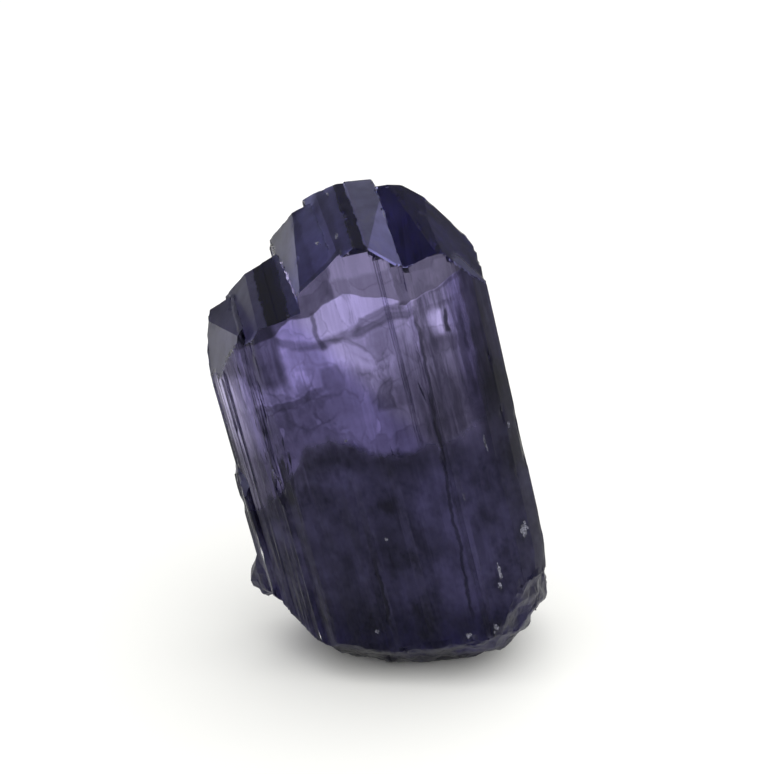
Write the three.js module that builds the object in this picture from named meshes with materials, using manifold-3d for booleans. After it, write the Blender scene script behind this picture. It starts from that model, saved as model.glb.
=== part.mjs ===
// A rough tanzanite crystal, standing on the small flat spot of its broken foot.
//
// The stone is one piece: a group of blocky zoisite crystals grown together side by side, their
// long axes parallel, leaning to the left. Each crystal is a prism with striated sides and its own
// sloping head faces, so the top is a ridged roof with two lower shoulders on the left. The foot
// is a fracture: dished faces round a small flat spot, chips along the lower edges and one small
// knob at the lower left.
//
// Millimetres, +Z up, front towards -Y, origin at the middle of the flat spot.
//
// Everything is shaped in the crystal frame (u to the right, v to the back, w along the long axis)
// and the finished mesh is turned by the lean.

import * as THREE from "three";
import { mergeVertices } from "three/addons/utils/BufferGeometryUtils.js";
import Module from "manifold-3d";

const wasm = await Module();
wasm.setup();

// ---- Driving dimensions ----

const LEAN_DEG = 13; // the long axis leans this far towards -X
const TALLEST = 18.12; // from the foot to the highest head, along the axis
const FRONT = -3.4; // v of the broad front face
const BACK = 3.5; // v of the broad back face
const LEFT = -4.56; // u of the outer left face
const RIGHT = 5.67; // u of the outer right face

// The sutures where neighbouring crystals meet run obliquely: u at the front, u at the back.
const SUTURE_LEFT = [-3.0, -3.6];
const SUTURE_MIDDLE = [-0.4, -1.8];
const SUTURE_CENTRE = [0.75, -0.3];
const SUTURE_RIGHT = [3.1, 2.0];

const STRIA_PITCH = 0.42; // distance between growth ledges across a side face
const STRIA_DEPTH = 0.05; // depth of a growth ledge
const OVERLAP = 0.15; // how far neighbouring crystals reach into each other
const BELOW = 3; // how far the prisms reach below the foot before it is cut
const CUTTER = 40; // edge of the block that stands for a half space

// ---- Helpers ----

const radians = THREE.MathUtils.degToRad;

// A closed three.js geometry as a solid.
function solidOf(geometry) {
  const bare = geometry.clone();
  bare.deleteAttribute("normal");
  bare.deleteAttribute("uv");
  const merged = mergeVertices(bare, 1e-5);
  return new wasm.Manifold(
    new wasm.Mesh({
      numProp: 3,
      vertProperties: merged.attributes.position.array,
      triVerts: new Uint32Array(merged.index.array),
    })
  );
}

// A solid as a three.js geometry with flat faces.
function geometryOf(solid) {
  const mesh = solid.getMesh();
  const geometry = new THREE.BufferGeometry();
  geometry.setAttribute("position", new THREE.BufferAttribute(mesh.vertProperties, 3));
  geometry.setIndex(new THREE.BufferAttribute(mesh.triVerts, 1));
  const faceted = geometry.toNonIndexed();
  faceted.computeVertexNormals();
  return faceted;
}

// The outward direction of a face that falls away towards a bearing (0 is the front, 90 the
// right) at a slope from the horizontal. Slopes over 90 face down.
function faceDirection(bearing, slope) {
  const b = radians(bearing);
  const s = radians(slope);
  return new THREE.Vector3(Math.sin(b) * Math.sin(s), -Math.cos(b) * Math.sin(s), Math.cos(s));
}

// Cuts away everything outside the plane through a point that faces a direction.
function cutFace(solid, point, direction) {
  const block = new THREE.BoxGeometry(CUTTER, CUTTER, CUTTER);
  block.translate(0, 0, CUTTER / 2);
  const turn = new THREE.Quaternion().setFromUnitVectors(new THREE.Vector3(0, 0, 1), direction);
  block.applyQuaternion(turn);
  block.translate(point.x, point.y, point.z);
  return solid.subtract(solidOf(block));
}

const partToCrystal = new THREE.Quaternion().setFromAxisAngle(
  new THREE.Vector3(0, 1, 0),
  radians(LEAN_DEG)
);

// The direction of the flat spot, which faces straight down in the part frame.
const restDirection = new THREE.Vector3(0, 0, -1).applyQuaternion(partToCrystal);

// A number from 0 to 1 that looks random but is the same every time.
function scatter(seed) {
  const x = Math.sin(seed * 12.9898) * 43758.5453;
  return x - Math.floor(x);
}

// An outline with growth ledges: each long side becomes a run of shallow uneven steps.
function striated(outline, seed) {
  const points = [];
  outline.forEach(([u, v], i) => {
    const [nextU, nextV] = outline[(i + 1) % outline.length];
    const length = Math.hypot(nextU - u, nextV - v);
    const steps = Math.floor(length / STRIA_PITCH);
    const along = [(nextU - u) / length, (nextV - v) / length];
    const inward = [-along[1], along[0]];
    points.push([u, v]);
    for (let k = 1; k < steps; k++) {
      const jitter = (scatter(seed + i * 31 + k) - 0.5) * 0.5;
      const at = ((k + jitter) / steps) * length;
      const depth = STRIA_DEPTH * (k % 2 ? 1 : 0.15) * (0.4 + scatter(seed + i * 17 + k * 3));
      points.push([
        u + along[0] * at + inward[0] * depth,
        v + along[1] * at + inward[1] * depth,
      ]);
    }
  });
  return points;
}

// One crystal: a striated prism along the axis, cut by its head faces and its own foot faces.
function crystal({ outline, faces, seed }) {
  const shape = new THREE.Shape(striated(outline, seed).map(([u, v]) => new THREE.Vector2(u, v)));
  const prism = new THREE.ExtrudeGeometry(shape, {
    depth: TALLEST + 2 * BELOW,
    bevelEnabled: false,
  });
  prism.translate(0, 0, -BELOW);
  return faces.reduce(
    (solid, { at, bearing, slope }) =>
      cutFace(solid, new THREE.Vector3(...at), faceDirection(bearing, slope)),
    solidOf(prism)
  );
}

// ---- The crystals, from left to right ----

const outerLeft = {
  seed: 11,
  outline: [
    [LEFT, -0.8],
    [LEFT + 0.5, -1.7],
    [SUTURE_LEFT[0], -2.72],
    [SUTURE_LEFT[0] + 2 * OVERLAP, -2.6],
    [SUTURE_LEFT[1] + OVERLAP, 2.1],
    [LEFT + 0.25, 1.4],
  ],
  faces: [
    { at: [-3.36, 0.2, 15.0], bearing: -71, slope: 37 },
    { at: [-3.85, -1.7, 13.35], bearing: -66, slope: 71 },
    { at: [-4.46, 0, 13.7], bearing: -88, slope: 70 },
    { at: [-3.7, 0.2, 14.9], bearing: 175, slope: 48 },
    { at: [-4.15, 0, 3.1], bearing: -115, slope: 140 },
  ],
};

// A thin plate grown over the lower half of the outer left crystal.
const leftPlate = {
  seed: 17,
  outline: [
    [LEFT - 0.18, -0.6],
    [LEFT + 0.1, -1.5],
    [LEFT + 0.6, -1.2],
    [LEFT + 0.6, 1.3],
    [LEFT + 0.02, 1.2],
  ],
  faces: [
    { at: [LEFT - 0.1, 0, 9.0], bearing: -80, slope: 66 },
    { at: [LEFT, -1, 8.7], bearing: -20, slope: 58 },
    { at: [-4.4, 0, 3.3], bearing: -100, slope: 138 },
  ],
};

const shoulder = {
  seed: 23,
  outline: [
    [SUTURE_LEFT[0] - OVERLAP, -2.45],
    [-2.4, -3.05],
    [SUTURE_MIDDLE[0] - 0.2, -3.28],
    [SUTURE_MIDDLE[0] + OVERLAP, -3.18],
    [SUTURE_MIDDLE[1] + OVERLAP, 2.95],
    [SUTURE_LEFT[1] - OVERLAP, 2.3],
  ],
  faces: [
    { at: [-2.6, 0.2, 15.75], bearing: -69, slope: 52 },
    { at: [-1.9, 0.2, 15.92], bearing: -31, slope: 21 },
    { at: [-2.1, 0.2, 15.8], bearing: 212, slope: 40 },
  ],
};

const mainLeft = {
  seed: 37,
  outline: [
    [SUTURE_MIDDLE[0] - OVERLAP, -3.16],
    [SUTURE_MIDDLE[0] + 0.25, -3.31],
    [SUTURE_CENTRE[0] + 0.2, FRONT + 0.1],
    [SUTURE_CENTRE[1], BACK - 0.25],
    [SUTURE_MIDDLE[1] - OVERLAP, BACK - 0.5],
  ],
  faces: [
    { at: [-0.45, 0.2, 17.3], bearing: -73, slope: 57.5 },
    { at: [-0.4, 0.2, 17.36], bearing: -53, slope: 37 },
    { at: [-0.3, 0.2, 17.55], bearing: 184, slope: 42 },
  ],
};

const mainMiddle = {
  seed: 41,
  outline: [
    [SUTURE_CENTRE[0] - OVERLAP, FRONT + 0.2],
    [SUTURE_CENTRE[0] + 0.5, FRONT],
    [SUTURE_RIGHT[0] - 0.2, FRONT],
    [SUTURE_RIGHT[0], FRONT + 0.15],
    [SUTURE_RIGHT[1], BACK],
    [SUTURE_CENTRE[1] - OVERLAP, BACK],
  ],
  faces: [
    { at: [0.5, 0.2, 17.76], bearing: -62, slope: 42 },
    { at: [1.26, 0.2, TALLEST], bearing: -51, slope: 30 },
    { at: [1.4, 0.2, TALLEST], bearing: 47, slope: 23 },
    { at: [2.1, 0.2, 17.98], bearing: 55, slope: 26 },
    { at: [2.68, FRONT, 16.3], bearing: 67, slope: 47 },
    { at: [1.6, 0.2, TALLEST], bearing: 180, slope: 37 },
  ],
};

const mainRight = {
  seed: 59,
  outline: [
    [SUTURE_RIGHT[0] - OVERLAP, FRONT + 0.2],
    [SUTURE_RIGHT[0] + 0.2, FRONT + 0.07],
    [4.7, FRONT + 0.28],
    [RIGHT - 0.41, FRONT + 0.62],
    [RIGHT, -2.3],
    [RIGHT - 0.31, 1.2],
    [4.7, 2.6],
    [SUTURE_RIGHT[1] - OVERLAP, BACK - 0.2],
  ],
  faces: [
    { at: [3.0, 0.2, 17.87], bearing: -14, slope: 30 },
    { at: [3.2, 0.2, 17.75], bearing: 54, slope: 29 },
    { at: [3.6, 0.2, 17.47], bearing: 82, slope: 42 },
    { at: [3.6, 0.2, 17.47], bearing: 135, slope: 52 },
    { at: [4.2, 0.2, 16.88], bearing: 86, slope: 57 },
    { at: [4.2, 0.2, 16.88], bearing: 120, slope: 61 },
    { at: [5.05, 0.2, 15.8], bearing: 107, slope: 72 },
    { at: [3.3, 0.2, 17.6], bearing: 168, slope: 36 },
  ],
};

// ---- Knobs and chips ----

// A rough ball of flat faces.
function roughBall({ at, radius, stretch = [1, 1, 1], seed, detail = 1 }) {
  const ball = new THREE.IcosahedronGeometry(1, detail);
  ball.deleteAttribute("normal");
  ball.deleteAttribute("uv");
  const merged = mergeVertices(ball, 1e-5);
  const places = merged.attributes.position;
  for (let i = 0; i < places.count; i++) {
    const reach = 0.86 + 0.2 * scatter(seed + i * 1.7);
    places.setXYZ(i, places.getX(i) * reach, places.getY(i) * reach, places.getZ(i) * reach);
  }
  merged.rotateX(seed);
  merged.rotateY(seed * 2.3);
  merged.scale(radius * stretch[0], radius * stretch[1], radius * stretch[2]);
  merged.translate(...at);
  return merged;
}

const ballInCrystal = (ball) => solidOf(roughBall(ball));
const ballInPart = (ball) => solidOf(roughBall(ball).applyQuaternion(partToCrystal));

// Small lumps that stand out of the foot, in the part frame.
const knobs = [
  { at: [-5.3, -0.1, 3.0], radius: 0.86, stretch: [0.95, 1.1, 1.05], seed: 3, detail: 2 },
  { at: [-4.8, 0.3, 2.55], radius: 0.7, stretch: [1.1, 1.3, 0.85], seed: 8, detail: 2 },
];

// Bites out of the foot, in the part frame: broad dishes, then chips along the lower edges.
const footBites = [
  { at: [-2.6, -3.9, -0.9], radius: 2.1, stretch: [1.4, 1, 1], seed: 21, detail: 2 },
  { at: [2.9, -4.1, -0.9], radius: 2.2, stretch: [1.2, 1, 1], seed: 22, detail: 2 },
  { at: [5.4, 0.4, -0.7], radius: 2.0, stretch: [1, 1.2, 1], seed: 23, detail: 2 },
  { at: [-1.2, 4.7, -0.9], radius: 2.6, stretch: [1.3, 1, 1], seed: 25, detail: 2 },
  { at: [-4.9, 1.9, -0.4], radius: 1.9, stretch: [1, 1, 1.1], seed: 26, detail: 2 },
  { at: [4.9, -2.35, 3.2], radius: 0.45, stretch: [0.9, 1, 1.4], seed: 31 },
  { at: [4.35, -3.2, 2.9], radius: 0.36, stretch: [0.9, 1, 1.5], seed: 32 },
  { at: [4.75, -1.4, 2.3], radius: 0.4, seed: 33 },
  { at: [3.5, -3.35, 2.1], radius: 0.42, stretch: [1.3, 1, 0.8], seed: 34 },
  { at: [2.1, -3.45, 1.6], radius: 0.34, stretch: [1.4, 1, 0.8], seed: 35 },
  { at: [-0.6, -3.5, 1.5], radius: 0.3, stretch: [1.6, 1, 0.8], seed: 36 },
];

// Bites out of the sides and heads, in the crystal frame.
const sideBites = [
  { at: [4.95, -3.35, 6.2], radius: 0.3, stretch: [0.8, 1, 2], seed: 38 },
  { at: [SUTURE_LEFT[0], -2.9, 8.6], radius: 0.36, stretch: [0.8, 1, 2.4], seed: 39 },
  { at: [-4.6, -1.6, 9.0], radius: 0.35, stretch: [1, 1, 1.8], seed: 40 },
  { at: [-3.32, -0.6, 15.1], radius: 0.3, stretch: [0.9, 2.4, 1], seed: 42 },
  { at: [-1.5, -0.7, 15.95], radius: 0.2, stretch: [0.8, 2.4, 1], seed: 43 },
  { at: [5.05, 2.75, 7.0], radius: 0.5, stretch: [1, 1, 2.2], seed: 45 },
  { at: [-1.75, 3.3, 7.6], radius: 0.42, stretch: [1, 0.9, 2.6], seed: 46 },
  { at: [2.0, 3.65, 5.6], radius: 0.42, stretch: [1, 0.9, 2.4], seed: 47 },
  { at: [-4.45, 1.65, 6.6], radius: 0.5, stretch: [0.9, 1, 1.7], seed: 48 },
];

// ---- The foot ----

// The broken foot in the part frame: a lumpy bowl cut off flat where the stone rests. Its outline
// is a rounded box that widens level by level and leans with the crystal.
const BOWL = { left: 4.2, right: 4.97, front: 3.5, back: 3.8 }; // half widths where share is 1
const BOWL_CORNER = 2.8; // 2 is an ellipse, more is boxier
const BOWL_POINTS = 44; // round each level
const BOWL_LUMPS = 0.035; // how much the width varies
const BOWL_LEVELS = [
  { height: -0.4, share: 0.3 },
  { height: 0.25, share: 0.54 },
  { height: 0.55, share: 0.66 },
  { height: 0.95, share: 0.79 },
  { height: 1.45, share: 0.92 },
  { height: 2.1, share: 1.03 },
  { height: 3.0, share: 1.12 },
  { height: 4.4, share: 1.24 },
  { height: 8, share: 1.7 },
  { height: 25, share: 5 },
];

function bowlPoint(level, step) {
  const { height, share } = BOWL_LEVELS[level];
  const turn = (step / BOWL_POINTS) * 2 * Math.PI;
  const [c, s] = [Math.cos(turn), Math.sin(turn)];
  const across = Math.abs(c) / (c < 0 ? BOWL.left : BOWL.right);
  const back = Math.abs(s) / (s < 0 ? BOWL.front : BOWL.back);
  const reach = (across ** BOWL_CORNER + back ** BOWL_CORNER) ** (-1 / BOWL_CORNER);
  const swell = Math.sin(5 * turn + 1.9 * level) * Math.sin(3 * turn - 1.3 * level + 1);
  const lump = 1 + BOWL_LUMPS * (swell + scatter(level * 61 + step) - 0.5);
  const radius = reach * share * lump;
  const leaning = -height * Math.tan(radians(LEAN_DEG));
  const wave = 0.12 * (scatter(level * 37 + step * 1.9) - 0.5);
  return [radius * c + leaning, radius * s, height + wave];
}

function brokenFoot() {
  const places = [];
  const triangles = [];
  const last = BOWL_LEVELS.length - 1;
  const under = BOWL_LEVELS.length * BOWL_POINTS; // middle of the bottom
  const over = under + 1; // middle of the top
  for (let level = 0; level <= last; level++) {
    for (let step = 0; step < BOWL_POINTS; step++) {
      places.push(...bowlPoint(level, step));
      const here = level * BOWL_POINTS + step;
      const next = level * BOWL_POINTS + ((step + 1) % BOWL_POINTS);
      if (level === 0) triangles.push(under, next, here);
      if (level === last) triangles.push(over, here, next);
      else triangles.push(here, next, next + BOWL_POINTS, here, next + BOWL_POINTS, here + BOWL_POINTS);
    }
  }
  places.push(0, 0, BOWL_LEVELS[0].height, -5, 0, BOWL_LEVELS[last].height);
  const bowl = new THREE.BufferGeometry();
  bowl.setAttribute("position", new THREE.Float32BufferAttribute(places, 3));
  bowl.setIndex(triangles);
  return cutFace(solidOf(bowl.applyQuaternion(partToCrystal)), new THREE.Vector3(), restDirection);
}

// ---- The stone ----

const join = (solids) => solids.reduce((joined, one) => joined.add(one));
const crystals = [outerLeft, leftPlate, shoulder, mainLeft, mainMiddle, mainRight].map(crystal);
const grown = join(crystals);
const broken = grown.intersect(brokenFoot()).add(join(knobs.map(ballInPart)));
const bites = [...footBites.map(ballInPart), ...sideBites.map(ballInCrystal)];
const stone = broken.subtract(join(bites));

const tanzanite = new THREE.Mesh(
  geometryOf(stone),
  new THREE.MeshStandardMaterial({ color: 0x4b4478, roughness: 0.18, metalness: 0 })
);
tanzanite.name = "tanzanite_crystal";
tanzanite.rotation.y = -radians(LEAN_DEG);

const part = new THREE.Group();
part.add(tanzanite);

export default part;
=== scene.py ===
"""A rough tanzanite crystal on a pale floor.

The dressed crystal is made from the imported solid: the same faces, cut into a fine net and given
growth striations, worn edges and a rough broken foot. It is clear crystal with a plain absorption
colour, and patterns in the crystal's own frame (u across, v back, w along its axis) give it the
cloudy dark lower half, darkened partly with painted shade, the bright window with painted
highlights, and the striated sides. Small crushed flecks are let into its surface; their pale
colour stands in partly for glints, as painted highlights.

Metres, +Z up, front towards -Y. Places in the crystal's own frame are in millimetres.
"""

import math

import bmesh
import bpy
import numpy as np
from mathutils import Matrix, Vector, bvhtree, kdtree, noise


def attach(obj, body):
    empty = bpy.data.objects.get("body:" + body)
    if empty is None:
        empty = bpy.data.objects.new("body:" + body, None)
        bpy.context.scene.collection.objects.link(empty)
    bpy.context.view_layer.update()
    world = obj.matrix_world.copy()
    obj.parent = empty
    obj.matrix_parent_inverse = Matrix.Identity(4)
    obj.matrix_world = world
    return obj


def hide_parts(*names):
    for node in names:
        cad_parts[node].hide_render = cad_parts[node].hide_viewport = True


MM = 0.001
NODE = "tanzanite_crystal"

LEAN = math.radians(13)  # the long axis leans this far towards -X
CRYSTAL_FROM_ROW = Matrix.Rotation(LEAN, 4, "Y")

# ---- Camera: the photograph's view, from 25 degrees above the horizon ----

CAMERA_PLACE = Vector((-1.2, -67.97, 40.70)) * MM
CAMERA_AIM = Vector((-1.065, 0.566, 10.21)) * MM
CAMERA_ANGLE = math.radians(21.04)
NEAREST = 1 * MM
FURTHEST = 10


def make_camera():
    data = bpy.data.cameras.new("camera")
    data.sensor_fit = "HORIZONTAL"
    data.angle = CAMERA_ANGLE
    data.clip_start = NEAREST
    data.clip_end = FURTHEST
    camera = bpy.data.objects.new("camera", data)
    bpy.context.scene.collection.objects.link(camera)
    camera.location = CAMERA_PLACE
    camera.rotation_euler = (CAMERA_AIM - CAMERA_PLACE).to_track_quat("-Z", "Y").to_euler()
    bpy.context.scene.camera = camera


# ---- The crystal's mesh ----

CELL = 0.075  # net width across the axis, mm
CELL_ALONG = 0.35  # net length along the axis, mm
SAME_POINT = 1e-4  # points nearer than this are one, mm
ON_PLANE = 1e-5
FLAT_DEG = 0.2  # faces of the solid that turn less than this are one face
SHARP_DEG = 14  # edges of the solid that turn more than this stay sharp
HEAD_RISE = 0.45  # faces whose normal rises more than this along the axis are on the head

# Growth striations along the sides: heights of the broad, fine and finest ones, mm.
STRIAE = (0.045, 0.02, 0.005)
LEDGE = 0.13  # width of the growth ledges on the flanks, mm
MARGIN = (4.3, 4.9)  # where the clean right margin starts and where it is whole, across, mm

# Growth stripes on the heads: where each starts across the ridge and its step up or down, mm.
HEAD_STRIPES = [(-3.3, 0.02), (-1.9, 0.02), (1.55, 0.05), (2.55, -0.05)]
RIDGE_V = 0.2
STRIPE_SLANT = 0.15
STRIPE_EDGE = 0.025  # half the width of a stripe's step, mm
HATCH = 0.004  # height of the fine lines between them, mm

FOOT_RELIEF = (0.15, 0.13, 0.03)  # lumps, shell-like steps and grit of the broken foot, mm

EDGE_STEP = 0.05  # wear is measured from points this far apart along the sharp edges, mm
CHIP_REACH = 0.16  # how far from an edge a chip reaches, mm
CHIP_DEPTH = 0.13

# The worn lower right corner: its middle and reach (across, along), and its depth, mm.
CORNER = (5.7, 2.6)
CORNER_REACH = (0.7, 1.1)
CORNER_DEPTH = 0.24

# The part of the back behind the window that is worn to one slope: its middle and half width
# across, and the step in it, mm.
SLOPE_MIDDLE, SLOPE_HALF = -0.55, 1.35
STEP_U, STEP_HALF = -0.42, 0.05

# The clean pane at the front of the window: its middle and half width across, mm.
PANE_MIDDLE, PANE_HALF = 0.08, 1.17


def smoothstep(low, high, x):
    t = np.clip((x - low) / (high - low), 0, 1)
    return t * t * (3 - 2 * t)


def noise_at(points, scale, offset=0.0):
    """Smooth noise from -1 to 1 at each point, with a scale for each axis."""
    places = points * np.array(scale) + offset
    return np.array([noise.noise(p, noise_basis="PERLIN_NEW") for p in places.tolist()])


def terrace(height, sharp):
    """Turns a smooth height into flat treads with steep risers, one tread a unit."""
    tread = np.floor(height)
    rise = height - tread
    return tread + 1 / (1 + np.exp(-sharp * 2 * (rise - 0.5)))


def stepped_noise(points, scale, offset, steps, sharp):
    """Noise in flat treads, with that many steps a unit."""
    return terrace(noise_at(points, scale, offset) * steps, sharp) / steps


def cut(bm, geom, place, normal, dist):
    """Cuts the faces where a plane passes through them."""
    bmesh.ops.bisect_plane(bm, geom=geom, dist=dist, plane_co=place, plane_no=normal)


def net_mesh():
    """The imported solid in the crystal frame, in mm, its faces cut into a fine net."""
    bm = bmesh.new()
    bm.from_mesh(bpy.data.objects[NODE].data)
    bm.transform(Matrix.Scale(1 / MM, 4) @ CRYSTAL_FROM_ROW)
    bmesh.ops.remove_doubles(bm, verts=bm.verts, dist=SAME_POINT)
    bmesh.ops.dissolve_limit(
        bm, angle_limit=math.radians(FLAT_DEG), verts=bm.verts, edges=bm.edges
    )
    for edge in bm.edges:
        edge.smooth = edge.calc_face_angle(math.pi) < math.radians(SHARP_DEG)
    cell = CELL
    corners = np.array([v.co for v in bm.verts])
    low, high = corners.min(0), corners.max(0)
    for axis, step in ((0, cell), (1, cell), (2, CELL_ALONG)):
        normal = Vector([float(k == axis) for k in range(3)])
        for at in np.arange(low[axis] + step / 2, high[axis], step):
            cut(bm, bm.verts[:] + bm.edges[:] + bm.faces[:], normal * at, normal, ON_PLANE)
    across = Vector((1, STRIPE_SLANT, 0)).normalized()
    for at, _ in HEAD_STRIPES:
        for side in (-STRIPE_EDGE, STRIPE_EDGE):
            head = [f for f in bm.faces if f.normal.z > HEAD_RISE]
            edges = {e for f in head for e in f.edges}
            verts = {v for f in head for v in f.verts}
            geom = list(verts) + list(edges) + head
            cut(bm, geom, (at + side, RIDGE_V, 0), across, SAME_POINT)
    bmesh.ops.triangulate(bm, faces=bm.faces)
    return bm


def edge_distance(bm, points):
    """How far each point is from the nearest sharp outer edge."""
    spots = []
    for edge in bm.edges:
        if not edge.smooth and edge.is_convex:
            a, b = edge.verts[0].co, edge.verts[1].co
            steps = max(1, math.ceil((b - a).length / EDGE_STEP))
            spots.extend(a.lerp(b, k / steps) for k in range(steps + 1))
    tree = kdtree.KDTree(len(spots))
    for i, spot in enumerate(spots):
        tree.insert(spot, i)
    tree.balance()
    return np.array([tree.find(p)[2] for p in points.tolist()])


def height_over_floor(points):
    """The height of points of the crystal frame over the floor, mm."""
    return points @ np.array(CRYSTAL_FROM_ROW.inverted().to_3x3())[2]


def striae(points, margin):
    """The height of the striations, which fade in the window, the upper back and the margin."""
    u, v, w = points.T
    window = (
        smoothstep(-3.2, -1.5, u)
        * (1 - smoothstep(2.6, 3.4, u))
        * smoothstep(8.5, 9.5, w)
        * smoothstep(0, 1, -v)
    )
    upper_back = smoothstep(6.5, 8, w) * smoothstep(1.8, 2.6, v)
    calm = (1 - 0.96 * window) * (1 - 0.97 * upper_back) * (1 - 0.6 * smoothstep(14, 15.5, w))
    calm *= (1 - 0.8 * margin) * (1 - 0.5 * smoothstep(2.4, 3.2, -v))
    broad = stepped_noise(points, (1.9, 1.9, 0.05), 0.0, 5, 5)
    fine = stepped_noise(points, (5.5, 5.5, 0.16), 7.3, 3, 4)
    finest = noise_at(points, (11, 11, 0.4), 3.1)
    return calm * (STRIAE[0] * broad + STRIAE[1] * fine + STRIAE[2] * finest)


def flank_ledges(points):
    """The flanks go back in ledges: narrow treads that face front or back, and wide risers."""
    drift = points[:, 0] / LEDGE + 0.8 * noise_at(points, (0.3, 0.3, 0.08), 6.1)
    return LEDGE * np.clip(terrace(drift, 8) - drift, -0.5, 0.5)


def head_ledges(points):
    """Growth stripes across the heads, from the ridge to the front, a little to the right."""
    across = points[:, 0] + STRIPE_SLANT * (points[:, 1] - RIDGE_V)
    stripes = sum(
        step * smoothstep(at - STRIPE_EDGE, at + STRIPE_EDGE, across) for at, step in HEAD_STRIPES
    )
    return stripes + HATCH * noise_at(points, (7, 0.4, 0.4), 5.9)


def foot_relief(points):
    """The relief of the broken foot."""
    lumps = noise_at(points, (0.9, 0.9, 0.9), 2.2)
    shell = stepped_noise(points, (1.4, 1.4, 1.4), 9.1, 4, 3)
    grit = noise_at(points, (6, 6, 6), 1.4)
    return FOOT_RELIEF[0] * lumps + FOOT_RELIEF[1] * shell + FOOT_RELIEF[2] * grit


def wear(bm, points, height):
    """How far the sharp edges are chipped and worn back, less at the floor and on the heads."""
    near = 1 - smoothstep(0, CHIP_REACH, edge_distance(bm, points))
    nibble = np.clip(noise_at(points, (1.6, 1.6, 0.8), 4.4) - 0.05, 0, 0.5) * 2
    bite = 0.1 + 0.9 * np.clip(noise_at(points, (4.5, 4.5, 2.2), 8.8) + 0.3, 0, 1)
    worn = near * CHIP_DEPTH * nibble * bite * smoothstep(0.0, 0.3, height)
    return worn * (1 - 0.6 * smoothstep(12, 14, points[:, 2]))


def wear_flat(moved, points):
    """Wears back the lower right corner and evens out two steps, at the back and in front."""
    u, v, w = points.T
    corner_u = (u - CORNER[0]) / CORNER_REACH[0]
    corner_w = (w - CORNER[1]) / CORNER_REACH[1]
    moved[:, 0] -= CORNER_DEPTH * np.exp(-(corner_u**2) - corner_w**2)
    # Behind the window the step between two of the grown crystals is worn to a slope.
    slope = 3.0 + 0.5 * smoothstep(-1.9, 0.8, u)
    behind = smoothstep(2.6, 2.95, v) * smoothstep(7, 8, w) * (np.abs(u - SLOPE_MIDDLE) < SLOPE_HALF)
    moved[:, 1] += behind * (slope - moved[:, 1])
    on_step = (np.abs(u - STEP_U) < STEP_HALF) & (behind > 0)
    moved[:, 0] += np.where(on_step, STEP_U - moved[:, 0], 0)
    # And the front of the window is one clean face.
    pane = -3.2 - 0.1 * smoothstep(-1.1, -0.1, u) - 0.1 * smoothstep(0.6, 1.3, u)
    ahead = smoothstep(3.0, 3.12, -v) * smoothstep(8, 9, w) * (np.abs(u - PANE_MIDDLE) < PANE_HALF)
    moved[:, 1] += ahead * (pane - moved[:, 1])


def sculpt(bm):
    """Grows the striations, the ledges on the heads, the rough foot and the worn edges."""
    bm.normal_update()
    bm.verts.ensure_lookup_table()
    points = np.array([v.co for v in bm.verts])
    normals = np.array([v.normal for v in bm.verts])
    height = height_over_floor(points)

    side = 1 - smoothstep(0.1, 0.28, np.abs(normals[:, 2]))
    head = smoothstep(0.3, 0.5, normals[:, 2])
    foot = smoothstep(0.15, 0.4, -normals[:, 2]) * smoothstep(0.02, 0.5, height)
    margin = smoothstep(*MARGIN, points[:, 0])
    flank = side * smoothstep(0.35, 0.6, np.abs(normals[:, 0])) * (1 - margin)

    out = side * striae(points, margin) + head * head_ledges(points) + foot * foot_relief(points)
    out -= wear(bm, points, height)
    moved = points + normals * out[:, None]
    moved[:, 0] += flank * flank_ledges(points)
    wear_flat(moved, points)
    sunk = (height_over_floor(moved) < 0) & (height > 0)
    for vert, place, under in zip(bm.verts, moved.tolist(), sunk):
        if not under:
            vert.co = place
    bmesh.ops.dissolve_degenerate(bm, dist=SAME_POINT, edges=bm.edges)
    bmesh.ops.triangulate(bm, faces=bm.faces)


def make_crystal():
    bm = net_mesh()
    sculpt(bm)
    bm.transform(CRYSTAL_FROM_ROW.inverted() @ Matrix.Scale(MM, 4))
    mesh = bpy.data.meshes.new("crystal")
    bm.to_mesh(mesh)
    bm.free()
    print("crystal triangles", len(mesh.polygons))
    crystal = bpy.data.objects.new("crystal", mesh)
    bpy.context.scene.collection.objects.link(crystal)
    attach(crystal, "root")
    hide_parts(NODE)
    return crystal


# ---- Flecks ----

# Crushed white flecks in the surface, whose pale colour stands in partly for glints as painted
# highlights: (u, w, half width, half height), seen from the front, mm.
FLECKS = [
    (5.1, 5.2, 0.13, 0.24), (3.9, 4.0, 0.05, 0.3), (3.82, 3.4, 0.06, 0.12),
    (2.32, 1.75, 0.1, 0.1), (3.33, 1.8, 0.08, 0.13), (-0.88, 2.55, 0.06, 0.08),
    (5.35, 9.25, 0.03, 0.12), (4.45, 9.0, 0.03, 0.3), (0.3, 6.15, 0.05, 0.05),
    (-0.2, 10.2, 0.05, 0.05), (0.4, 16.95, 0.07, 0.04), (1.15, 17.2, 0.06, 0.05),
    (0.95, 17.95, 0.04, 0.03),
]
FLECK_SEED = 5
FLECK_SHARDS = 26
FLECK_SPREAD = 0.5  # how far its shards scatter, as a share of the fleck's half size
SHARD_SIZES = (0.15, 0.45)  # as a share of the fleck's half size
SHARD_THICK = 0.018  # mm
SHARD_LUMPS = 0.8  # how uneven a shard is, as a share of its radius
AHEAD_OF_STONE = -12  # from here the flecks are looked for on the surface, mm
FLECK_GRAIN = 9000.0  # grains a metre
FLECK_DARK = (0.05, 0.05, 0.07, 1)
FLECK_GLINT_PALE = (0.2, 0.2, 0.26, 1)
FLECK_ROUGHNESS = 0.5


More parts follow.
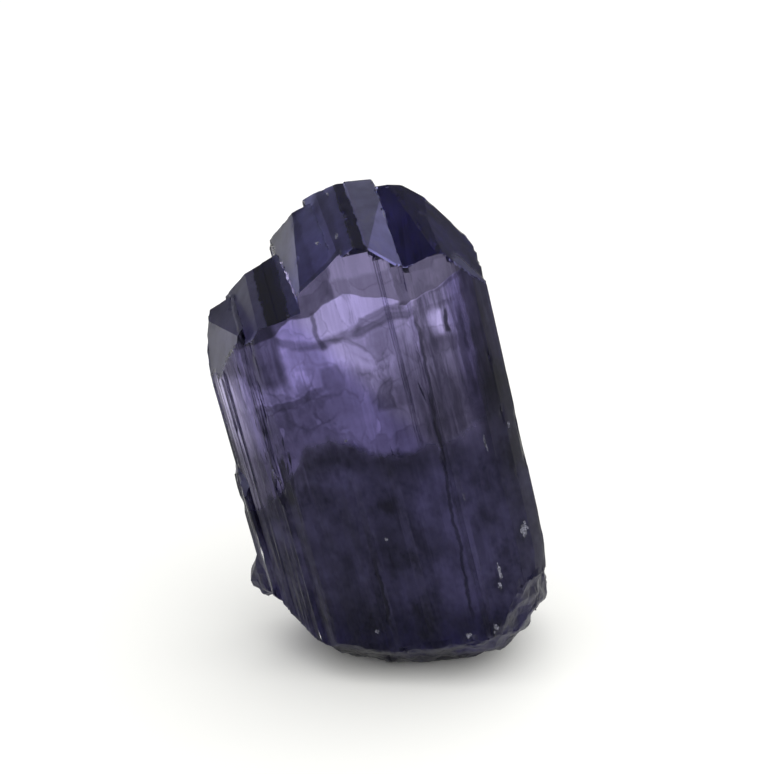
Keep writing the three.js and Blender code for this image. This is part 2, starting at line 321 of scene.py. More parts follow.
def make_flecks(crystal):
    """Small groups of flat shards, each let into the crystal's surface; their pale colour is partly
    a painted highlight.
    """
    to_crystal = CRYSTAL_FROM_ROW @ Matrix.Scale(1 / MM, 4)
    dressed = bmesh.new()
    dressed.from_mesh(crystal.data)
    dressed.transform(to_crystal)
    surface = bvhtree.BVHTree.FromBMesh(dressed)
    dressed.free()
    rng = np.random.default_rng(FLECK_SEED)
    flecks = bmesh.new()
    for u, w, wide, tall in FLECKS:
        for _ in range(FLECK_SHARDS):
            shard_u = u + rng.normal(0, FLECK_SPREAD * wide)
            shard_w = w + rng.normal(0, FLECK_SPREAD * tall)
            start = Vector((shard_u, AHEAD_OF_STONE, shard_w))
            hit, normal, _, _ = surface.ray_cast(start, Vector((0, 1, 0)))
            if hit is None:
                continue
            size = rng.uniform(*SHARD_SIZES)
            shard = bmesh.ops.create_icosphere(flecks, subdivisions=2, radius=1.0)["verts"]
            squash = Matrix.Diagonal((wide * size, SHARD_THICK, tall * size, 1))
            face = normal.to_track_quat("-Y", "Z").to_matrix().to_4x4()
            for vert in shard:
                vert.co *= 1 + SHARD_LUMPS * noise.noise(vert.co * 1.7 + hit * 9)
            bmesh.ops.transform(flecks, matrix=Matrix.Translation(hit) @ face @ squash, verts=shard)
    flecks.transform(to_crystal.inverted())
    mesh = bpy.data.meshes.new("flecks")
    flecks.to_mesh(mesh)
    flecks.free()
    piece = bpy.data.objects.new("flecks", mesh)
    bpy.context.scene.collection.objects.link(piece)
    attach(piece, "root")
    return piece


def fleck_material():
    material = bpy.data.materials.new("crushed_fleck_glint")
    material.use_nodes = True
    n = Nodes(material.node_tree)
    shader = material.node_tree.nodes["Principled BSDF"]
    grain = n.noise(n.add("TexCoord").outputs["Object"], FLECK_GRAIN, 3.0)
    # The pale grain is partly a painted highlight.
    colour = n.mix(n.ramp(grain, 0.35, 0.65), FLECK_DARK, FLECK_GLINT_PALE)
    n.put(shader.inputs["Base Color"], colour)
    shader.inputs["Roughness"].default_value = FLECK_ROUGHNESS
    return material


# ---- Wiring of materials ----

CURVE_LOW, CURVE_SPAN = -6.0, 26.0  # where the curves start and how long they are, mm


class Nodes:
    """Short calls for wiring a material's nodes."""

    def __init__(self, tree):
        self.tree = tree

    def add(self, kind, **settings):
        node = self.tree.nodes.new("ShaderNode" + kind)
        for name, value in settings.items():
            setattr(node, name, value)
        return node

    def put(self, socket, value):
        if isinstance(value, bpy.types.NodeSocket):
            self.tree.links.new(value, socket)
        else:
            socket.default_value = value

    def math(self, operation, *values):
        node = self.add("Math", operation=operation)
        for socket, value in zip(node.inputs, values):
            self.put(socket, value)
        return node.outputs[0]

    def times(self, *values):
        total = values[0]
        for value in values[1:]:
            total = self.math("MULTIPLY", total, value)
        return total

    def plus(self, *values):
        total = values[0]
        for value in values[1:]:
            total = self.math("ADD", total, value)
        return total

    def minus(self, a, b):
        return self.math("SUBTRACT", a, b)

    def highest(self, *values):
        top = values[0]
        for value in values[1:]:
            top = self.math("MAXIMUM", top, value)
        return top

    def ramp(self, value, low, high, out_low=0.0, out_high=1.0):
        """A smooth step of value from low to high."""
        node = self.add("MapRange", interpolation_type="SMOOTHSTEP")
        for socket, v in zip(node.inputs, (value, low, high, out_low, out_high)):
            self.put(socket, v)
        return node.outputs[0]

    def factor(self, area, inside):
        """1 outside the area, and that number inside it."""
        return self.ramp(area, 0, 1, 1.0, inside)

    def band(self, value, low, high, soft=0.1):
        """1 between low and high, 0 outside."""
        rise = self.ramp(value, low - soft, low + soft)
        fall = self.ramp(value, high + soft, high - soft)
        return self.times(rise, fall)

    def mix(self, factor, a, b, blend="MIX"):
        node = self.add("Mix", data_type="RGBA", blend_type=blend)
        self.put(node.inputs["Factor"], factor)
        self.put(node.inputs["A"], a)
        self.put(node.inputs["B"], b)
        return node.outputs["Result"]

    def lerp(self, factor, a, b):
        """A number between a and b."""
        node = self.add("Mix", data_type="FLOAT")
        for name, value in (("Factor", factor), ("A", a), ("B", b)):
            self.put(node.inputs[name], value)
        return node.outputs["Result"]

    def parts(self, vector):
        node = self.add("SeparateXYZ")
        self.put(node.inputs[0], vector)
        return node.outputs

    def noise(self, vector, scale, detail, rough=0.5):
        node = self.add("TexNoise", noise_dimensions="3D")
        self.put(node.inputs["Vector"], vector)
        node.inputs["Scale"].default_value = scale
        node.inputs["Detail"].default_value = detail
        node.inputs["Roughness"].default_value = rough
        return node.outputs["Fac"]

    def stretched_noise(self, vector, stretch, offset, scale, detail, rough):
        node = self.add("Mapping", vector_type="POINT")
        self.put(node.inputs["Vector"], vector)
        node.inputs["Scale"].default_value = stretch
        node.inputs["Location"].default_value = offset
        return self.noise(node.outputs[0], scale, detail, rough)

    def cells(self, vector, scale, feature):
        node = self.add("TexVoronoi", feature=feature, voronoi_dimensions="2D")
        self.put(node.inputs["Vector"], vector)
        node.inputs["Scale"].default_value = scale
        return node.outputs

    def warp(self, vector, scale, amount):
        """The vector pushed about by smooth noise of that scale, by up to half the amount."""
        node = self.add("TexNoise", noise_dimensions="3D")
        self.put(node.inputs["Vector"], vector)
        node.inputs["Scale"].default_value = scale
        node.inputs["Detail"].default_value = 1.0
        centred = self.add("VectorMath", operation="SUBTRACT")
        self.put(centred.inputs[0], node.outputs["Color"])
        centred.inputs[1].default_value = (0.5,) * 3
        away = self.add("VectorMath", operation="MULTIPLY_ADD")
        self.put(away.inputs[0], centred.outputs[0])
        away.inputs[1].default_value = (amount,) * 3
        self.put(away.inputs[2], vector)
        return away.outputs[0]

    def share(self, value):
        """How far along the curves' span a value in mm is, from 0 to 1."""
        return self.math("MULTIPLY_ADD", value, 1 / CURVE_SPAN, -CURVE_LOW / CURVE_SPAN)

    def curve(self, share, points):
        """The height, in mm, of a smooth curve through (place, height) points."""
        node = self.add("FloatCurve")
        self.put(node.inputs["Value"], share)
        line = node.mapping.curves[0]
        spots = sorted([(mm - CURVE_LOW) / CURVE_SPAN for mm in point] for point in points)
        line.points[0].location, line.points[1].location = spots[0], spots[-1]
        for spot in spots[1:-1]:
            line.points.new(*spot)
        node.mapping.update()
        return self.math("MULTIPLY_ADD", node.outputs[0], CURVE_SPAN, CURVE_LOW)

    def spot(self, place, at_u, at_w, wide, tall):
        """1 in the middle of an oval, 0 outside it."""
        inside = self.add("VectorMath", operation="MULTIPLY_ADD")
        self.put(inside.inputs[0], place)
        inside.inputs[1].default_value = (1 / wide, 0, 1 / tall)
        inside.inputs[2].default_value = (-at_u / wide, 0, -at_w / tall)
        reach = self.add("VectorMath", operation="LENGTH")
        self.put(reach.inputs[0], inside.outputs[0])
        return self.ramp(reach.outputs["Value"], 1.0, 0.45)

    def line(self, distance, width, depth, where):
        """A factor that dips by depth within width of where distance is zero."""
        near = self.ramp(self.math("ABSOLUTE", distance), 0.25 * width, width, 1.0, 0.0)
        return self.minus(1.0, self.times(near, where, depth))


# ---- The crystal's material ----

IOR = 1.69
GLOSS_TINT = (0.11, 0.11, 0.19, 1)
ABSORPTION_COLOUR = (0.226, 0.137, 0.634, 1)
ABSORPTION_DENSITY = 185

GREY = (1.0, 0.99, 0.9, 1)
VIOLET = (0.97, 0.95, 1.0, 1)
DEEP_VIOLET = (0.62, 0.56, 1.0, 1)
HEAD_BLUE = (0.48, 0.55, 1.0, 1)
HEAD_SLATE = (0.62, 0.72, 1.0, 1)
FROST = (0.8, 0.88, 1.0, 1)
SMOKE = (0.75, 0.74, 1.0, 1)

# Noises: (stretch, offset, scale, detail, roughness).
MOTTLE = ((1, 1, 0.7), (0, 0, 0), 1.1, 3.0, 0.6)
BLOTCH = ((1, 1, 0.8), (4, 7, 1), 0.55, 3.0, 0.55)
STREAK = ((1, 1, 0.1), (0, 0, 0), 3.4, 3.0, 0.62)
FINE = ((1, 1, 0.05), (3, 5, 0), 9.0, 2.0, 0.6)
WISPS = ((1, 1, 0.6), (1, 2, 8), 2.6, 3.0, 0.6)
SLOW_WAVE = (1.3, 0.3)  # scale and amount of the bends in all the lines
QUICK_WAVE = (5.0, 0.09)
LOOPS_WAVE = (0.8, 1.5)
LOOPS_SCALE = 0.85

# Lines on the front in the crystal frame, mm: how high each is, going across, as (u, w).
SHADED_CLOUD_TOP = [
    (-6, 7.6), (-3.4, 8.2), (-2.5, 9.1), (-1.9, 10.05), (-0.9, 10.35), (-0.2, 10.15), (0.2, 9.72),
    (1.0, 9.5), (1.7, 9.35), (2.5, 9.5), (3.2, 9.4), (4.0, 9.7), (4.5, 9.95), (5.2, 10.4), (6, 10.5),
]
GLOW_TOP = [
    (-6, 14.2), (-1.8, 14.45), (-1.2, 14.85), (-0.2, 15.02), (0.5, 15.38), (1.1, 15.5),
    (1.7, 15.3), (2.3, 15.08), (2.9, 14.85), (6, 15.7),
]
BREAK_LOW = [
    (-6, 13.9), (0.5, 14.0), (1.2, 14.08), (2.0, 14.28), (2.8, 14.36), (3.6, 14.42), (6, 14.9),
]
BREAK_HIGH = [
    (-6, 13.0), (0.9, 14.08), (1.4, 14.42), (2.0, 14.58), (3.0, 14.7), (4.0, 15.02),
    (4.9, 15.35), (6, 15.9),
]
VEIL = [(-6, 15.5), (-1.9, 14.4), (-1.3, 14.08), (-0.6, 13.9), (0.1, 13.93), (0.9, 14.1), (6, 14.1)]
SCALLOP = [(-6, 13.9), (0.1, 13.88), (0.6, 13.86), (1.0, 13.6), (1.32, 13.3), (1.5, 12.6), (6, 8)]
LOW_VEIL = [(-6, 11.6), (-3.0, 11.8), (-1.6, 11.95), (-0.9, 12.15), (-0.2, 12.35), (6, 13.5)]
LOW_VEIL_HIGHLIGHT = 0.14  # a painted highlight over the low veil, mm above it
# And how far across the upright ones are, going up, as (w, u).
SEAM = [
    (-6, 2.5), (2, 2.6), (5, 2.72), (7.9, 2.83), (10.6, 3.0), (12.5, 3.07), (14.2, 3.16), (20, 3.3),
]
SUTURE = [
    (11, -0.05), (13.0, -0.05), (13.7, -0.1), (14.1, -0.25), (14.6, -0.27), (15.2, -0.2), (20, 0),
]

# How see-through the crystal is, in tenths: the front going up the axis, the outer left crystal
# going across, and the head faces across their growth stripes.
TENTH = 0.1
# The front is less see-through low down: partly cloudy, partly painted shade.
FRONT_TONE = [
    (-6, 2.2), (9.4, 2.4), (10.4, 2.5), (11.4, 2.5), (12.0, 3.3), (12.6, 4.6), (13.2, 6.2),
    (13.8, 7.2), (14.3, 8.0), (20, 8.0),
]
LEFT_TONE = [
    (-6, 9), (-4.0, 10), (-3.78, 9.5), (-3.68, 1.2), (-3.45, 1.2), (-3.35, 4.5), (-3.15, 4.5),
    (-3.05, 3), (20, 3),
]
HEAD_TONE = [
    (-6, 6), (-2.35, 6), (-2.25, 2.4), (-1.6, 3.2), (-1.4, 6.4), (-0.5, 6.8), (-0.35, 5.6),
    (-0.2, 7.6), (0.25, 7.8), (0.4, 5.6), (0.75, 5.2), (0.9, 7.6), (1.1, 7.4), (1.25, 4.8),
    (1.5, 4.6), (1.6, 8.5), (2.5, 8.5), (2.6, 8.5), (20, 9),
]

# What is drawn along the lines on the front: (line, half width, how much darker), less than 0
# for a painted highlight, then the stretch it covers: (axis, from, to, how soft its ends are), mm.
DRAWN_LINES = [
    ("break_low", 0.26, 0.62, "u", 0.75, 3.1, 0.3),
    ("break_high", 0.2, 0.52, "u", 1.1, 2.9, 0.15),
    ("veil", 0.26, 0.5, "u", -1.75, 0.7, 0.15),
    ("scallop", 0.16, 0.3, "u", 0.1, 1.35, 0.1),
    ("low_veil", 0.22, 0.4, "u", -3.0, -0.4, 0.2),
    ("suture", 0.12, 0.6, "w", 13.7, 15.1, 0.1),
    # These two are painted highlights.
    ("break_high", 0.06, -0.12, "u", 3.1, 4.9, 0.1),
    ("low_veil_highlight", 0.07, -0.35, "u", -3.0, -0.6, 0.3),
]
# Straight strokes along the axis: (u, half width, how much darker, less than 0 for a painted
# highlight, from w, to w, how soft), mm.
STROKES = [
    (4.12, 0.12, 0.85, 13.35, 14.15, 0.1), (4.6, 0.09, 0.6, 12.6, 14.0, 0.2),
    (2.66, 0.05, -0.25, 15.1, 15.9, 0.1), (3.9, 0.12, -0.5, 13.3, 14.2, 0.1),
    (3.45, 0.09, -0.35, 13.2, 14.1, 0.1), (4.32, 0.07, -0.4, 12.6, 13.9, 0.1),
]
# Painted highlights in the window, small bright glints: (u, w, half width, half height), mm.
GLINTS = [
    (1.02, 10.5, 0.09, 0.35), (-0.15, 10.55, 0.25, 0.1), (0.08, 10.05, 0.07, 0.22),
    (-2.6, 12.1, 0.1, 0.35), (-0.95, 11.1, 0.1, 0.16), (-2.3, 10.9, 0.12, 0.25),
]
PALE_PATCH = (-1.0, 8.9, 1.0, 0.7)  # in the cloud, given in the same way

# Areas of the front: (from, to, how soft) across and then along the axis, mm.
PATCH = ((0.0, 1.45, 0.1), (12.7, 14.0, 0.3))
PALE_BLOCK = ((-0.15, 2.6, 0.06), (9.0, 11.1, 0.15))
BLOB = ((-0.42, 0.3, 0.12), (12.2, 13.05, 0.15))
POOL = ((-0.3, 0.95, 0.1), (10.0, 12.9, 0.3))
LIT = ((3.5, 4.25, 0.1), (13.35, 14.2, 0.35))

SHADED_CLOUD_SINK = 1.9  # how much lower the cloud's top is at the back, mm
SHADED_CLOUD_LUMPS, SHADED_CLOUD_WISPS = 0.7, 0.6  # how far the noises move its top, mm
FOOT_FADE = (0.7, 1.5)  # heights over the floor where the foot turns rough and gets painted shade, mm


class Stone:
    """What the crystal's patterns share: its own frame in mm, noises, lines and areas.

    A line is given as the distance from it. An area is 1 inside and 0 outside.
    """

    def __init__(self, n):
        turn = n.add("Mapping", vector_type="POINT")
        turn.inputs["Rotation"].default_value = (0, LEAN, 0)
        turn.inputs["Scale"].default_value = (1 / MM,) * 3
        n.put(turn.inputs["Vector"], n.add("TexCoord").outputs["Object"])
        crystal = turn.outputs[0]
        self.place = n.warp(n.warp(crystal, *SLOW_WAVE), *QUICK_WAVE)
        u, v, w = n.parts(self.place)
        self.u, self.v, self.w = u, v, w
        self.across = n.plus(u, n.times(v, STRIPE_SLANT), -STRIPE_SLANT * RIDGE_V)

        self.mottle = n.stretched_noise(crystal, *MOTTLE)
        self.blotch = n.stretched_noise(crystal, *BLOTCH)
        self.streak = n.stretched_noise(crystal, *STREAK)
        self.fine = n.stretched_noise(crystal, *FINE)
        self.wisps = n.stretched_noise(crystal, *WISPS)
        self.add_lines(n)
        self.add_areas(n)
        self.add_loops(n)

    def add_lines(self, n):
        u_share, w_share = n.share(self.u), n.share(self.w)
        level = {
            "shaded_cloud_top": SHADED_CLOUD_TOP, "glow_top": GLOW_TOP, "break_low": BREAK_LOW,
            "break_high": BREAK_HIGH, "veil": VEIL, "scallop": SCALLOP, "low_veil": LOW_VEIL,
        }
        upright = {"suture": SUTURE, "seam": SEAM}
        self.lines = {name: n.minus(self.w, n.curve(u_share, level[name])) for name in level}
        for name in upright:
            self.lines[name] = n.minus(self.u, n.curve(w_share, upright[name]))
        self.lines["low_veil_highlight"] = n.plus(self.lines["low_veil"], -LOW_VEIL_HIGHLIGHT)
        self.front_fall = n.times(n.curve(w_share, FRONT_TONE), TENTH)
        self.left_level = n.curve(u_share, LEFT_TONE)
        self.head_level = n.curve(n.share(self.across), HEAD_TONE)

    def add_areas(self, n):
        u, v, w = self.u, self.v, self.w
        facing = n.add("Mapping", vector_type="VECTOR")
        facing.inputs["Rotation"].default_value = (0, LEAN, 0)
        n.put(facing.inputs["Vector"], n.add("TexCoord").outputs["Normal"])
        facing_v, facing_w = n.parts(facing.outputs[0])[1:]
        self.front = n.ramp(v, -1.6, -2.8)
        self.back = n.ramp(v, 1.2, 2.6)
        self.head = n.times(n.ramp(facing_w, 0.2, 0.35), n.ramp(facing_v, 0.1, -0.05))
        self.frosted_left = n.times(self.head, n.ramp(self.across, -2.2, -2.35))
        self.margin = n.ramp(u, 4.6, 5.0)

        # Over the glow the front has a grey dome in the middle and a grey shelf to the right.
        self.upper = n.ramp(self.lines["glow_top"], -0.04, 0.04)
        self.dome = n.times(self.upper, n.ramp(u, 0.5, 0.75), n.ramp(u, 2.75, 2.6))
        self.shelf = n.times(n.ramp(self.lines["break_high"], 0.0, 0.05), n.ramp(u, 2.6, 2.75))

        # The cloudy lower half, darkened partly with painted shade: its top is an uneven arch that
        # sinks to the back.
        self.above = n.plus(
            self.lines["shaded_cloud_top"],
            n.times(n.ramp(v, -3.4, 3.5), SHADED_CLOUD_SINK),
            n.times(n.minus(self.mottle, 0.5), SHADED_CLOUD_LUMPS),
            n.times(n.minus(self.wisps, 0.5), SHADED_CLOUD_WISPS),
        )
        self.shaded_cloud = n.ramp(self.above, 0.2, -0.25)

        # The foot near the floor: rough, and darker with painted shade.
        low, high = FOOT_FADE
        height = n.plus(n.times(w, math.cos(LEAN)), n.times(u, math.sin(LEAN)))
        self.underside = n.ramp(height, high, low)

    def add_loops(self, n):
        """Cells with curved borders, of one random level each."""
        flat = n.add("CombineXYZ")
        n.put(flat.inputs["X"], n.plus(self.u, n.times(self.v, 0.7)))
        n.put(flat.inputs["Y"], n.times(self.w, 0.8))
        loops = n.warp(flat.outputs[0], *LOOPS_WAVE)
        self.cell = n.parts(n.cells(loops, LOOPS_SCALE, "F1")["Color"])[0]
        self.border = n.cells(loops, LOOPS_SCALE, "DISTANCE_TO_EDGE")["Distance"]

    def box(self, n, across, along):
        """The area inside these two (from, to, how soft), across and along the axis."""
        return n.times(n.band(self.u, *across), n.band(self.w, *along))


def window_tone(n, s):
    """The upper front: brightness falls from the glow to the edge of the cloud."""
    u, w = s.u, s.w
    glow_top, break_low, break_high = (s.lines[k] for k in ("glow_top", "break_low", "break_high"))
    tone = n.times(s.front_fall, n.ramp(s.mottle, 0.3, 0.7, 0.72, 1.16))

    glow = n.times(
        n.ramp(break_low, -0.05, 0.05), n.ramp(glow_top, 0.05, -0.05), n.ramp(u, -2.2, -1.6)
    )
    left_of_suture = n.ramp(s.lines["suture"], -0.5, 0.1, 0.76, 1.0)
    glow_tone = n.times(n.ramp(s.blotch, 0.35, 0.65, 0.86, 1.0), left_of_suture)
    tone = n.lerp(glow, tone, glow_tone)

    lens = n.times(
        n.ramp(break_low, -0.02, 0.06), n.ramp(break_high, 0.02, -0.06), n.band(u, 1.0, 3.2)
    )
    tone = n.lerp(lens, tone, 0.82)
    patch = n.times(n.ramp(s.lines["scallop"], 0.03, -0.03), s.box(n, *PATCH))
    tone = n.lerp(n.times(patch, 0.8), tone, 0.92)

    left_of_shelf = n.times(s.upper, n.ramp(u, 2.75, 2.6))
    tone = n.lerp(left_of_shelf, tone, n.ramp(s.mottle, 0.3, 0.7, 0.14, 0.26))
    dome_tone = n.lerp(n.ramp(w, 15.95, 16.15), 0.42, 0.6)
    tone = n.lerp(s.dome, tone, dome_tone)
    return n.lerp(s.shelf, tone, n.ramp(s.mottle, 0.3, 0.7, 0.25, 0.33))


def inner_tone(n, s, tone):
    """Loops, patches and pale blocks in the lower part of the window."""
    low = n.times(n.ramp(s.w, 13.6, 12.6), n.ramp(s.above, 0.0, 0.6), n.ramp(s.u, 2.4, 1.8))
    patches = n.times(n.ramp(s.cell, 0.2, 0.8, 0.8, 1.2), n.ramp(s.border, 0.0, 0.1, 0.75, 1.0))
    smoky = n.ramp(s.wisps, 0.4, 0.56, 0.78, 1.08)
    tone = n.times(tone, n.lerp(low, 1.0, n.times(patches, smoky)))
    pale = n.times(s.box(n, *PALE_BLOCK), 0.8)
    tone = n.lerp(pale, tone, n.ramp(s.mottle, 0.3, 0.7, 0.3, 0.42))
    tone = n.times(tone, n.factor(s.box(n, *BLOB), 0.62))
    pool = n.times(s.box(n, *POOL), 0.7)
    return n.lerp(pool, tone, n.ramp(s.blotch, 0.35, 0.65, 0.3, 0.48))


def right_tone(n, s, tone):
    """Streaks along the axis to the right, and the dark right margin."""
    u, w, streak = s.u, s.w, s.streak
    break_low, break_high = s.lines["break_low"], s.lines["break_high"]
    right = n.times(n.ramp(u, 1.9, 3.0), n.ramp(break_high, 0.08, -0.04))
    bars = n.times(n.ramp(streak, 0.4, 0.6, 1.1, 0.55), n.ramp(w, 13.4, 12.9, 0.85, 0.75))
    tone = n.times(tone, n.lerp(right, 1.0, bars))
    beyond = n.times(n.band(u, 1.5, 3.0, 0.2), n.ramp(break_low, 0.05, -0.15))
    tone = n.times(tone, n.factor(beyond, 0.8))
    lit = n.times(s.box(n, *LIT), n.ramp(streak, 0.65, 0.45, 0.3, 1.0))
    far_right = n.times(n.ramp(u, 3.0, 3.2), n.ramp(break_high, 0.07, -0.03), n.ramp(w, 12.4, 13.2))
    tone = n.times(tone, n.lerp(far_right, 1.0, n.ramp(lit, 0, 1, 0.5, 1.1)))
    dusk = n.times(n.ramp(u, 2.1, 2.3), n.ramp(w, 13.4, 13.0))
    tone = n.times(tone, n.factor(dusk, 0.92))
    return n.times(tone, n.factor(s.margin, 0.4))


def left_tone(n, s, tone, left_height):
    """The shaded left of the window, and the outer left crystal."""
    shaded = n.times(n.ramp(s.u, -1.4, -1.8), n.ramp(s.u, -3.05, -2.9), n.ramp(s.w, 12.2, 12.8))
    tone = n.times(tone, n.lerp(shaded, 1.0, n.ramp(s.streak, 0.42, 0.58, 0.28, 0.2)))
    outer = n.times(s.left_level, left_height, TENTH)
    return n.lerp(n.ramp(s.u, -2.9, -3.1), tone, outer)


def drawn_lines(n, s):
    """The factor of the dark lines and strokes, and of the painted highlights, on the front."""
    axes = {"u": s.u, "w": s.w}
    factors = []
    for name, width, depth, axis, low, high, soft in DRAWN_LINES:
        where = n.band(axes[axis], low, high, soft)
        factors.append(n.line(s.lines[name], width, depth, where))
    for at, width, depth, low, high, soft in STROKES:
        where = n.band(s.w, low, high, soft)
        factors.append(n.line(n.minus(s.u, at), width, depth, where))
    return n.times(*factors)


def front_tone(n, s, left_height):
    tone = window_tone(n, s)
    tone = inner_tone(n, s, tone)
    tone = right_tone(n, s, tone)
    tone = left_tone(n, s, tone, left_height)
    # Painted shade: the right side of the front darker.
    tone = n.times(tone, n.ramp(s.u, 3.9, 4.6, 1.0, 0.82))
    return n.times(tone, drawn_lines(n, s), n.ramp(s.fine, 0.35, 0.65, 1.05, 0.93))


def rest_tone(n, s, left_height):
    """The back and the sides have the same kind of patches and streaks."""
    patches = n.times(n.ramp(s.cell, 0.1, 0.9, 0.8, 1.0), n.ramp(s.border, 0.0, 0.06, 0.8, 1.0))
    back_tone = n.times(patches, n.ramp(s.w, 12.5, 9.5, 1.0, 0.85))
    side_tone = n.times(n.ramp(s.streak, 0.42, 0.6, 1.0, 0.75), n.ramp(s.u, 3.5, 4.8, 1.0, 0.6))
    far_left = n.ramp(s.u, -2.8, -3.4)
    side_tone = n.times(side_tone, n.lerp(far_left, 1.0, n.times(left_height, 0.8)))
    return n.lerp(s.back, side_tone, back_tone)


def shaded_cloud_tone(n, s):
    """The cloudy lower half, darkened partly with painted shade: dark, mottled, with soft upright
    streaks, a paler patch at the upper left and painted shadow under its top.
    """
    pale_patch = n.times(n.spot(s.place, *PALE_PATCH), n.ramp(s.wisps, 0.35, 0.6, 0.4, 1.0))
    shadow_arch = n.ramp(s.above, -1.5, -0.15)
    tone = n.plus(
        n.ramp(s.mottle, 0.35, 0.65, 0.04, 0.25),
        n.times(n.ramp(s.streak, 0.5, 0.62), 0.05),
        n.times(pale_patch, 0.2),
        n.times(n.ramp(s.blotch, 0.4, 0.6), 0.14),
        n.times(n.ramp(s.u, 0.3, 2.5), 0.08),
        n.times(n.ramp(s.wisps, 0.45, 0.65), 0.06),
        n.times(n.ramp(s.u, -2.8, -3.4), 0.1),
    )
    tone = n.times(tone, n.line(n.minus(s.u, -0.3), 0.11, 0.8, n.band(s.w, 2.5, 5.5, 0.6)))
    return n.times(tone, n.factor(shadow_arch, 0.5), n.ramp(s.u, 4.3, 4.9, 1.0, 0.75))


def crystal_tone(n, s):
    """How much light the surface lets through, from 0 to 1."""
    left_height = n.times(n.ramp(s.w, 13.2, 12.5, 0.35, 1.0), n.ramp(s.w, 9.4, 10.9, 0.3, 1.0))
    tone = n.lerp(s.front, rest_tone(n, s, left_height), front_tone(n, s, left_height))
    head_tone = n.times(s.head_level, n.ramp(s.mottle, 0.3, 0.7, 0.095, 0.125))
    tone = n.lerp(s.head, tone, head_tone)
    # Painted shade in part: the lower half is made darker and cloudy.
    tone = n.lerp(s.shaded_cloud, tone, shaded_cloud_tone(n, s))

    black = n.times(
        n.ramp(s.u, 4.2, 4.6), n.band(s.w, 7.5, 11.4, 0.5), n.ramp(s.mottle, 0.3, 0.6, 1.0, 0.7)
    )
    tone = n.times(tone, n.factor(black, 0.35))
    # Painted highlights: small spots on the front made more see-through.
    glint = n.plus(*(n.spot(s.place, *spot) for spot in GLINTS))
    tone = n.plus(tone, n.times(glint, s.front, n.ramp(s.fine, 0.35, 0.65, 0.08, 0.2)))
    seam_reach = n.times(s.front, n.band(s.w, 2.5, 14.3, 0.5))
    tone = n.times(tone, n.line(s.lines["seam"], 0.1, 0.65, seam_reach))
    # Painted shade: the foot darker near the floor.
    tone = n.times(tone, n.factor(s.underside, 0.22))
    return n.times(tone, tone)  # half of it shows at each face that light passes


def crystal_tint(n, s):
    """Violet in the window, deeper to the left and right, blue heads, grey dome and smoky cloud."""
    greyness = n.highest(n.times(s.dome, s.front), n.times(s.shelf, s.front))
    lower_left = n.ramp(n.plus(s.u, n.times(s.w, 0.6), -8.4), 0.3, -0.7)
    deep = n.highest(lower_left, n.ramp(s.u, 3.9, 4.6))
    head_tint = n.mix(n.ramp(s.across, 1.35, 1.6), HEAD_BLUE, HEAD_SLATE)
    tint = n.mix(n.times(s.front, deep), VIOLET, DEEP_VIOLET)
    tint = n.mix(greyness, tint, GREY)
    tint = n.mix(s.head, tint, head_tint)
    tint = n.mix(s.frosted_left, tint, FROST)
    return n.mix(s.shaded_cloud, tint, SMOKE)


def crystal_roughness(n, s):
    """Clean faces, hazier where the stone is cloudy or streaked, and one etched head face."""
    flank = n.minus(1.0, n.highest(s.front, s.back))
    etched = n.times(n.band(s.across, 1.55, 2.58, 0.04), n.ramp(s.w, 15.6, 16.0), s.head)
    hazy = n.times(s.head, n.ramp(s.across, 1.3, 1.1), n.ramp(s.across, -1.6, -1.4))
    clean = n.ramp(s.mottle, 0.35, 0.7, 0.03, 0.08)
    cloudy = n.ramp(s.mottle, 0.3, 0.7, 0.3, 0.45)
    rough = n.highest(
        n.lerp(s.shaded_cloud, clean, cloudy),
        n.times(flank, n.ramp(s.w, 14.5, 13.5), n.ramp(s.streak, 0.4, 0.6, 0.1, 0.28)),
        n.times(etched, 0.4),
        n.times(hazy, 0.36),
        n.times(s.margin, s.front, 0.5),
        n.times(s.frosted_left, 0.45),
    )
    return n.lerp(s.underside, rough, n.ramp(s.mottle, 0.3, 0.7, 0.25, 0.45))


def crystal_material():
    material = bpy.data.materials.new("tanzanite")
    material.use_nodes = True
    tree = material.node_tree
    tree.nodes.clear()
    n = Nodes(tree)
    output = n.add("OutputMaterial")
    shader = n.add("BsdfPrincipled")
    volume = n.add("VolumeAbsorption")
    tree.links.new(shader.outputs[0], output.inputs["Surface"])
    tree.links.new(volume.outputs[0], output.inputs["Volume"])
    shader.inputs["IOR"].default_value = IOR
    shader.inputs["Specular Tint"].default_value = GLOSS_TINT
    shader.inputs["Transmission Weight"].default_value = 1.0
    volume.inputs["Color"].default_value = ABSORPTION_COLOUR
    volume.inputs["Density"].default_value = ABSORPTION_DENSITY

    s = Stone(n)
    tone = crystal_tone(n, s)
    level = n.add("CombineXYZ")
    for socket in level.inputs:
        n.put(socket, tone)
    body = n.mix(1.0, crystal_tint(n, s), level.outputs[0], "MULTIPLY")
    n.put(shader.inputs["Base Color"], body)
    n.put(shader.inputs["Roughness"], crystal_roughness(n, s))
    return material


# ---- Floor and light ----

FLOOR_HALF = 2.0
FLOOR_COLOUR = (0.9, 0.9, 0.87, 1)
FLOOR_ROUGHNESS = 0.8

ROOM_LEVEL = 0.4
DARK_LEVEL = -0.26  # added to the room's where it is darkest
TENT_LEVEL = 0.8  # added to the room's in the tent
WHITE = (1, 1, 1, 1)

LAMP_PLACE = Vector((60, -35, 215)) * MM
LAMP_AIM = Vector((0, 0, 5)) * MM
LAMP_WIDTH = 0.68
LAMP_POWER = 1.6


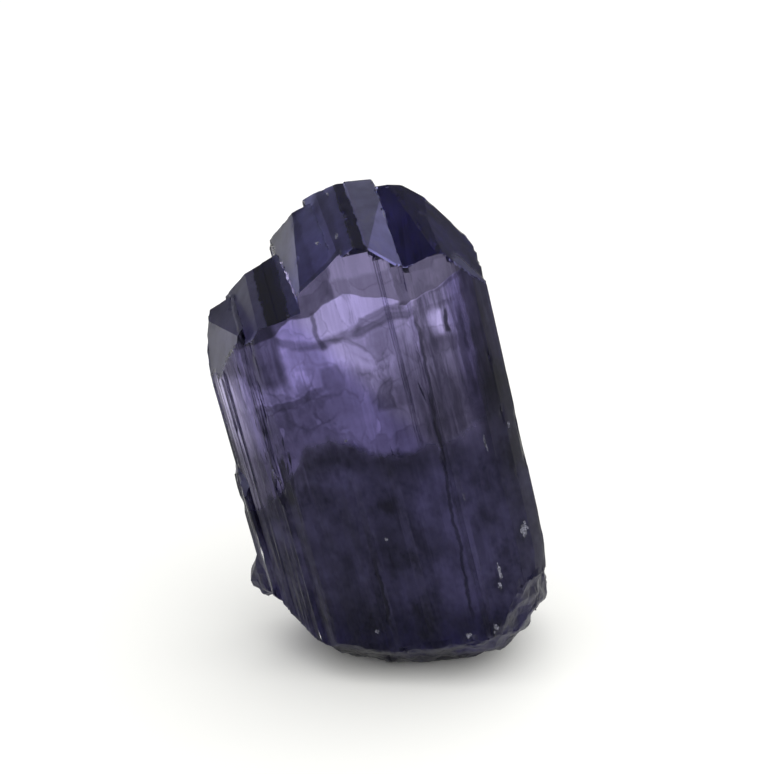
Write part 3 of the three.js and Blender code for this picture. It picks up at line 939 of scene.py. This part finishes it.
def make_floor():
    mesh = bpy.data.meshes.new("floor")
    half = FLOOR_HALF
    corners = [(-half, -half, 0), (half, -half, 0), (half, half, 0), (-half, half, 0)]
    mesh.from_pydata(corners, [], [(0, 1, 2, 3)])
    floor = bpy.data.objects.new("floor", mesh)
    bpy.context.scene.collection.objects.link(floor)
    material = bpy.data.materials.new("floor")
    material.use_nodes = True
    shader = material.node_tree.nodes["Principled BSDF"]
    shader.inputs["Base Color"].default_value = FLOOR_COLOUR
    shader.inputs["Roughness"].default_value = FLOOR_ROUGHNESS
    mesh.materials.append(material)


def make_room():
    """A dim room, darkest low down behind, with a bright low tent to the left of the camera."""
    world = bpy.data.worlds.new("studio")
    world.use_nodes = True
    n = Nodes(world.node_tree)
    background = world.node_tree.nodes["Background"]
    x, y, z = n.parts(n.add("TexCoord").outputs["Generated"])
    dark = n.times(n.ramp(y, 0.2, 0.6), n.ramp(z, 0.5, 0.3))
    tent = n.times(n.ramp(x, -0.5, -0.85), n.ramp(y, 0.2, 0.0), n.ramp(z, 0.65, 0.45))
    level = n.plus(ROOM_LEVEL, n.times(dark, DARK_LEVEL), n.times(tent, TENT_LEVEL))
    n.put(background.inputs["Strength"], level)
    background.inputs["Color"].default_value = WHITE
    bpy.context.scene.world = world


def make_lamp():
    data = bpy.data.lights.new("overhead", "AREA")
    data.shape = "DISK"
    data.size = LAMP_WIDTH
    data.energy = LAMP_POWER
    light = bpy.data.objects.new("overhead", data)
    light.location = LAMP_PLACE
    light.rotation_euler = (LAMP_AIM - LAMP_PLACE).to_track_quat("-Z", "Y").to_euler()
    light.visible_glossy = False
    bpy.context.scene.collection.objects.link(light)


def write_sizes():
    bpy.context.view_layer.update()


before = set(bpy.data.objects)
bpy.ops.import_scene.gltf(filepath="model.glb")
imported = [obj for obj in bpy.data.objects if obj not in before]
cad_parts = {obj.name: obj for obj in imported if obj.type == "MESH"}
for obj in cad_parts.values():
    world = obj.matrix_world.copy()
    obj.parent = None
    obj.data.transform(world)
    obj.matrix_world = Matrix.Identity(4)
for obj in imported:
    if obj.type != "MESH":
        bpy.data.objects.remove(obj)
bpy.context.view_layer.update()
make_camera()
crystal = make_crystal()
crystal.data.materials.append(crystal_material())
flecks = make_flecks(crystal)
flecks.data.materials.append(fleck_material())
make_floor()
make_room()
make_lamp()
bpy.context.scene.view_settings.view_transform = "Standard"
write_sizes()
